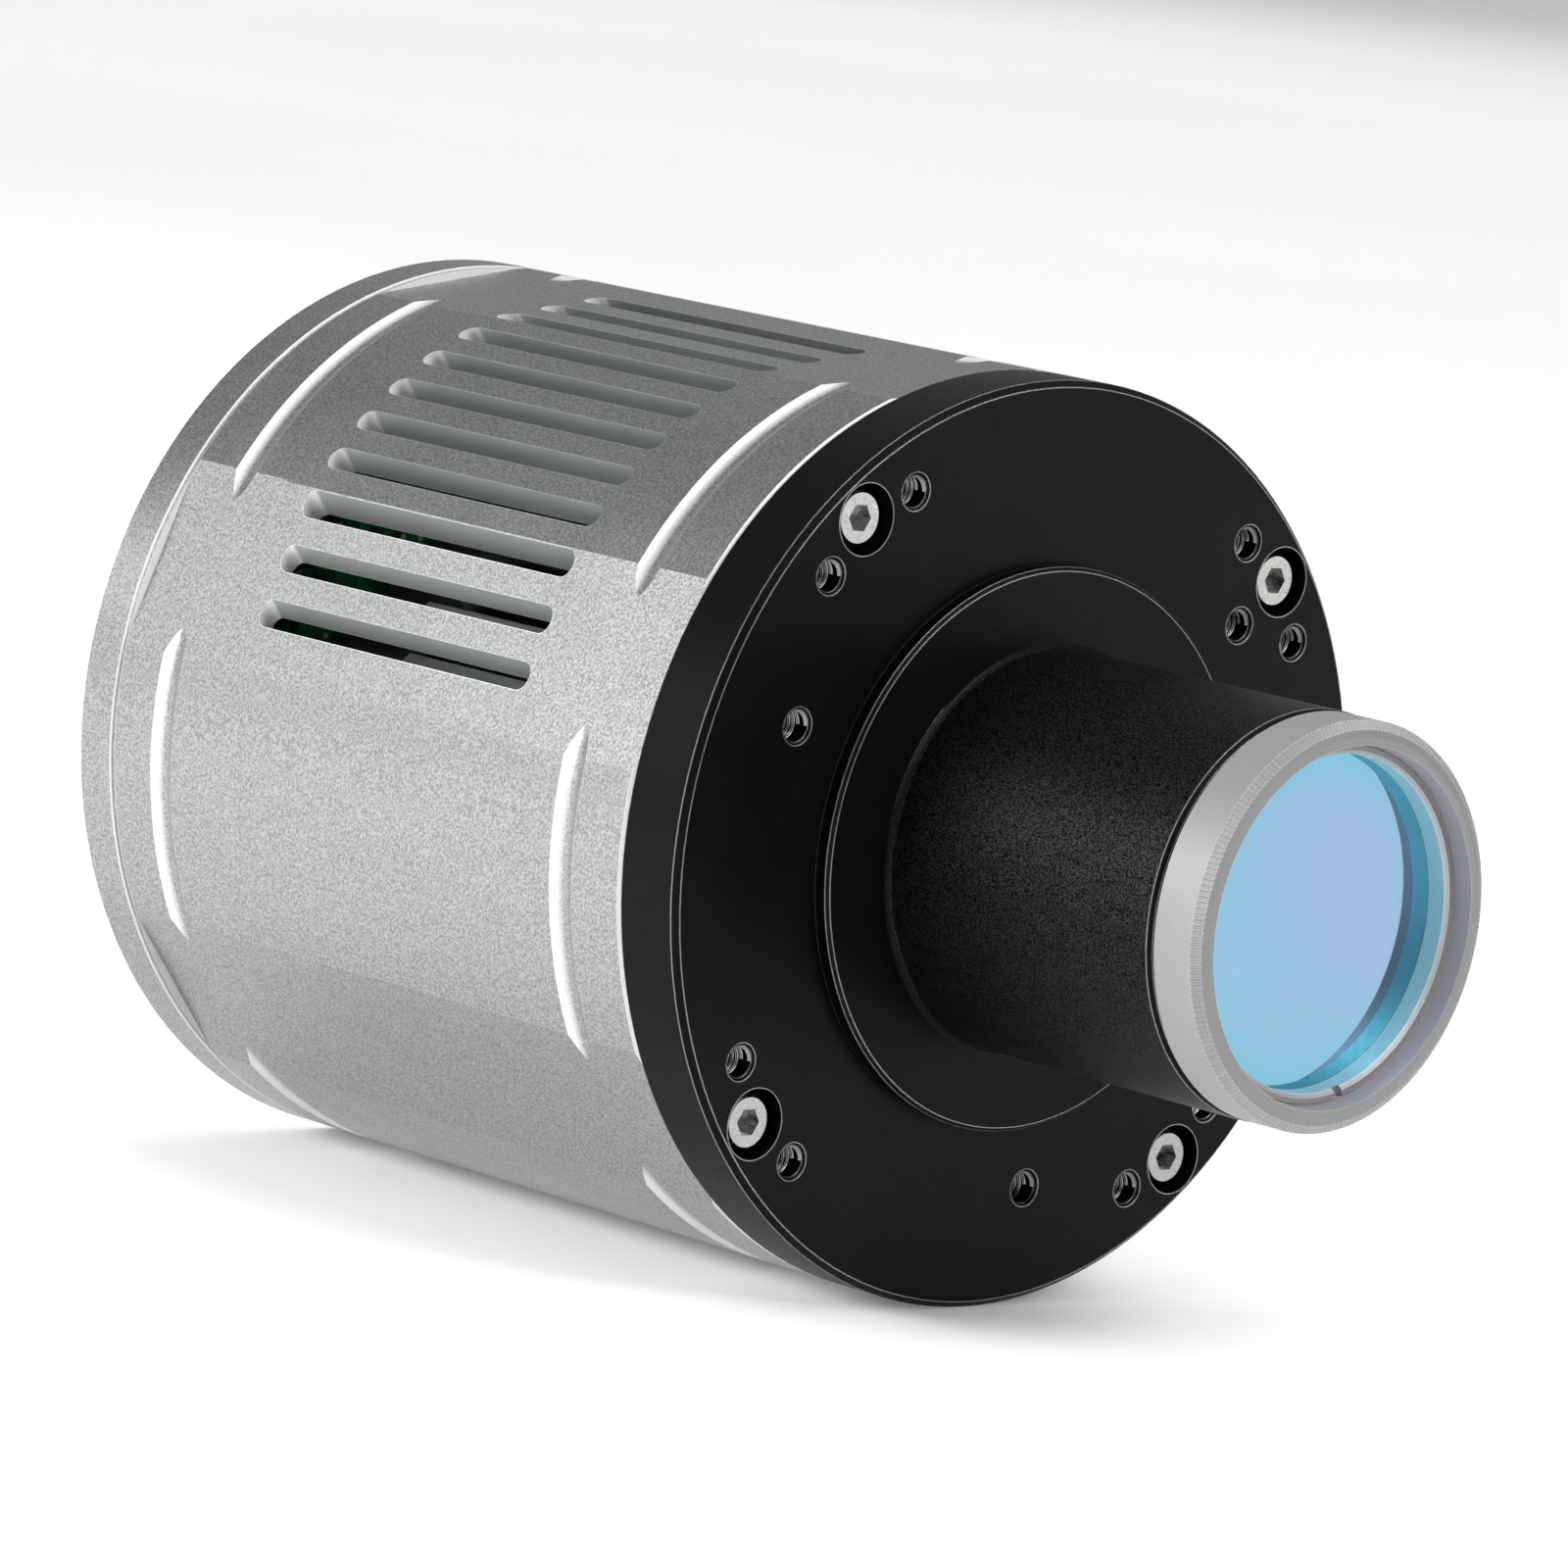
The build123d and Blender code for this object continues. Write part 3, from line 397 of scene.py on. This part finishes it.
def metal(name, first, second, low, high, grain=0.4, stretch=(1, 6, 1)):
    """Bare metal with a directional grain and small changes of tone."""
    look = Surface(name, Metallic=1.0)
    lay = look.noise(grain * mm, 4.0, stretch)
    look.colour(look.mix(look.spread(lay, 0.0, 1.0), first, second))
    look.rough(look.spread(look.noise(1.5 * mm, 3.0), low, high))
    look.bump(lay, 0.006 * mm)
    return look.material


def foam():
    """Closed-cell insulation foam."""
    look = Surface("foam_grey", Specular_IOR_Level=0.2, Sheen_Weight=0.3)
    cell = look.cells(0.5 * mm)
    look.colour(look.mix(look.spread(cell, 0.0, 1.0, 0.0, 0.6), (0.05, 0.05, 0.055), (0.16, 0.16, 0.17)))
    look.rough(look.spread(cell, 0.7, 0.95, 0.0, 0.6))
    look.bump(cell, 0.08 * mm)
    return look.material


def winding():
    """Enamelled copper wire wound side by side."""
    look = Surface("copper_winding", Metallic=1.0)
    turns = look.nodes.new("ShaderNodeTexWave")
    turns.bands_direction = "Y"
    turns.inputs["Scale"].default_value = 1 / (2.2 * mm)
    turns.inputs["Distortion"].default_value = 0.4
    look.links.new(look.place, turns.inputs["Vector"])
    look.colour(look.mix(turns.outputs["Fac"], (0.20, 0.07, 0.03), (0.72, 0.30, 0.12)))
    look.rough(look.spread(look.noise(0.6 * mm), 0.2, 0.35))
    look.bump(turns.outputs["Fac"], 0.06 * mm)
    return look.material


looks = {
    "silver_anodised": blasted_aluminium(),
    "black_anodised": black_aluminium(),
    "filter_metal": filter_aluminium(),
    "filter_coating": coated_filter(),
    "screw_steel": screw_steel(),
    "seal_rubber": rubber(),
    "clear_glass": clear_glass(),
    "heater_film": film("heater_film", (0.42, 0.16, 0.02), (0.60, 0.28, 0.05)),
    "desiccant": ceramic("desiccant", (0.74, 0.73, 0.69), (0.88, 0.87, 0.83), 0.75, 0.9),
    "package_ceramic": ceramic("package_ceramic", (0.09, 0.085, 0.08), (0.14, 0.13, 0.12), 0.5, 0.65),
    "sensor_silicon": silicon(),
    "board_green": circuit_board(),
    "chip_black": plastic("chip_black", (0.012, 0.012, 0.013), (0.022, 0.022, 0.022), 0.45, 0.6),
    "capacitor_can": metal("capacitor_can", (0.50, 0.50, 0.50), (0.66, 0.66, 0.66), 0.22, 0.34),
    "ribbon_film": film("ribbon_film", (0.50, 0.22, 0.03), (0.66, 0.34, 0.07)),
    "socket_ivory": plastic("socket_ivory", (0.66, 0.62, 0.52), (0.76, 0.73, 0.63), 0.4, 0.55),
    "copper": metal("copper", (0.60, 0.27, 0.14), (0.76, 0.38, 0.22), 0.24, 0.38),
    "alumina": ceramic("alumina", (0.80, 0.80, 0.78), (0.90, 0.90, 0.88), 0.45, 0.6),
    "telluride": metal("telluride", (0.16, 0.16, 0.18), (0.30, 0.30, 0.32), 0.4, 0.6),
    "foam_grey": foam(),
    "sink_aluminium": metal("sink_aluminium", (0.42, 0.43, 0.44), (0.56, 0.57, 0.58), 0.30, 0.42),
    "fan_plastic": plastic("fan_plastic", (0.014, 0.014, 0.014), (0.026, 0.026, 0.026), 0.42, 0.55),
    "bronze": metal("bronze", (0.40, 0.26, 0.11), (0.58, 0.40, 0.19), 0.34, 0.5),
    "copper_winding": winding(),
    "ferrite": ceramic("ferrite", (0.035, 0.035, 0.036), (0.06, 0.06, 0.06), 0.5, 0.65),
    "shaft_steel": metal("shaft_steel", (0.58, 0.58, 0.58), (0.74, 0.74, 0.74), 0.10, 0.18, 0.2, (8, 1, 8)),
    "brass_plain": metal("brass_plain", (0.66, 0.48, 0.17), (0.82, 0.64, 0.28), 0.22, 0.34),
    "socket_shell": metal("socket_shell", (0.56, 0.56, 0.55), (0.70, 0.70, 0.69), 0.22, 0.32),
    "socket_blue": plastic("socket_blue", (0.010, 0.075, 0.40), (0.016, 0.10, 0.50), 0.3, 0.42),
    "socket_black": plastic("socket_black", (0.010, 0.010, 0.010), (0.020, 0.020, 0.020), 0.4, 0.55),
}


def paint_nodes():
    """Every CAD node gets the look named by its slot in the record."""
    for row in frame["record"]["subparts"]:
        node = frame["nodes"][row["node"]]
        node.data.materials.clear()
        node.data.materials.append(looks[row["material_slot"]])


# ---------------------------------------------------------------- details


def new_piece(name, mesh_builder, look, body):
    """A mesh piece built by mesh_builder(bmesh), with a look, riding on a body."""
    built = bmesh.new()
    mesh_builder(built)
    bmesh.ops.recalc_face_normals(built, faces=built.faces)
    mesh = bpy.data.meshes.new(name)
    built.to_mesh(mesh)
    built.free()
    mesh.materials.append(looks[look])
    piece = bpy.data.objects.new(name, mesh)
    bpy.context.scene.collection.objects.link(piece)
    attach(piece, body)
    return piece


def on_circle(radius, degrees):
    """A point round the optical axis, counted from +X towards +Z."""
    angle = math.radians(degrees)
    return radius * math.cos(angle), radius * math.sin(angle)


def thread_ridge(built, x, z, root_radius, height, pitch, start, end):
    """A closed helical ridge inside a hole parallel to the optical axis."""
    steps = 28
    turns = (end - start - pitch) / pitch
    count = int(turns * steps)
    profile = ((0.0, 0.0), (0.0, 0.6 * pitch), (-height, 0.3 * pitch))
    rows = []
    for index in range(count + 1):
        angle = 2 * math.pi * index / steps
        along = start + pitch * index / steps
        row = []
        for inward, offset in profile:
            radius = root_radius + inward
            place = (x + radius * math.cos(angle), along + offset, z + radius * math.sin(angle))
            row.append(built.verts.new(place))
        rows.append(row)
    for first, second in zip(rows, rows[1:]):
        for side in range(3):
            after = (side + 1) % 3
            built.faces.new((first[side], first[after], second[after], second[side]))
    built.faces.new(rows[0])
    built.faces.new(reversed(rows[-1]))


def plate_threads(built, start, end):
    """The threads of the eleven tapped holes in the front plate, from one depth to another."""
    places = [on_circle(outer_hole_circle, angle) for angle in outer_hole_angles]
    places += [on_circle(inner_hole_circle, angle) for angle in inner_hole_angles]
    first, last = plate_face + start, plate_face + end
    for x, z in places:
        thread_ridge(built, x, z, hole_radius, ridge_height, thread_pitch, first, last)


def bare_mouth_threads(built):
    plate_threads(built, thread_start, thread_shade_start)


def shaded_deep_threads(built):
    plate_threads(built, thread_shade_start, thread_end)


def add_details():
    """Threads near the holes' mouths are bare bright metal; the ones behind them are black, as painted shade
    deeper in the holes.
    """
    new_piece("hole_threads_bare", bare_mouth_threads, "filter_metal", "camera_body")
    new_piece("hole_threads_painted_shade", shaded_deep_threads, "black_anodised", "camera_body")


# ---------------------------------------------------------------- studio


def aim(place, target):
    """The rotation that points an object's -Z from place to target."""
    return (target - place).to_track_quat("-Z", "Y")


def softbox(name, direction, distance, width, height, power):
    """A rectangular lamp, in metres and watts, that faces the object and isn't seen by the camera."""
    lamp = bpy.data.lights.new(name, "AREA")
    lamp.shape = "RECTANGLE"
    lamp.size = width
    lamp.size_y = height
    lamp.energy = power
    holder = bpy.data.objects.new(name, lamp)
    bpy.context.scene.collection.objects.link(holder)
    place = centre + Vector(direction).normalized() * distance
    holder.rotation_mode = "QUATERNION"
    holder.location = place
    holder.rotation_quaternion = aim(place, centre)
    holder.visible_camera = False
    return holder


def studio():
    world = bpy.data.worlds.new("studio")
    bpy.context.scene.world = world
    world.use_nodes = True
    background = world.node_tree.nodes["Background"]
    background.inputs["Color"].default_value = (1.0, 1.0, 1.0, 1.0)
    background.inputs["Strength"].default_value = 0.40
    bpy.context.scene.view_settings.view_transform = "Standard"

    softbox("key_left", (-0.66, 0.71, 0.22), 0.9, 0.55, 0.30, 0.5)
    softbox("left", (-0.90, 0.32, 0.36), 0.9, 0.42, 0.26, 4.0)
    softbox("front_top", (0.05, -0.80, 0.60), 1.2, 0.5, 0.4, 8.0)
    softbox("top", (0.15, -0.2, 1.0), 1.1, 1.2, 1.2, 3.0)
    softbox("front_right", (0.69, -0.71, -0.02), 1.3, 0.5, 0.5, 1.5)
    backdrop = softbox("backdrop", (0.6, 0.6, 0.75), 2.6, 3.0, 3.0, 25.0)

    floor_mesh = bpy.data.meshes.new("floor")
    half = 12.0
    corners = [(x, y, cad_low.z) for x, y in ((-half, -half), (half, -half), (half, half), (-half, half))]
    floor_mesh.from_pydata(corners, [], [(0, 1, 2, 3)])
    floor = bpy.data.objects.new("floor", floor_mesh)
    bpy.context.scene.collection.objects.link(floor)
    look = Surface("floor_paper", Specular_IOR_Level=0.1, Emission_Color=(1, 1, 1, 1), Emission_Strength=0.15)
    tone = look.noise(0.3, 3.0)
    look.colour(look.mix(look.spread(tone, 0.0, 1.0), (0.86, 0.86, 0.86), (0.90, 0.90, 0.90)))
    look.rough(look.spread(tone, 0.8, 0.9))
    floor_mesh.materials.append(look.material)

    # The backdrop lamp whitens the floor behind the object without lighting the object itself.
    floor_only = bpy.data.collections.new("floor_only")
    floor_only.objects.link(floor)
    backdrop.light_linking.receiver_collection = floor_only


def add_camera():
    camera = bpy.data.cameras.new("camera")
    camera.sensor_width = sensor_width
    camera.lens = camera_lens
    camera.clip_start = 0.01
    camera.clip_end = 50.0
    azimuth = math.radians(camera_azimuth)
    elevation = math.radians(camera_elevation)
    flat = math.cos(elevation)
    back = Vector((math.sin(azimuth) * flat, -math.cos(azimuth) * flat, math.sin(elevation)))
    holder = bpy.data.objects.new("camera", camera)
    bpy.context.scene.collection.objects.link(holder)
    holder.rotation_mode = "QUATERNION"
    holder.location = camera_place
    level = (-back).to_track_quat("-Z", "Y")
    holder.rotation_quaternion = Quaternion(back, math.radians(camera_roll)) @ level
    bpy.context.scene.camera = holder


paint_nodes()
add_details()
studio()
add_camera()

bpy.context.view_layer.update()
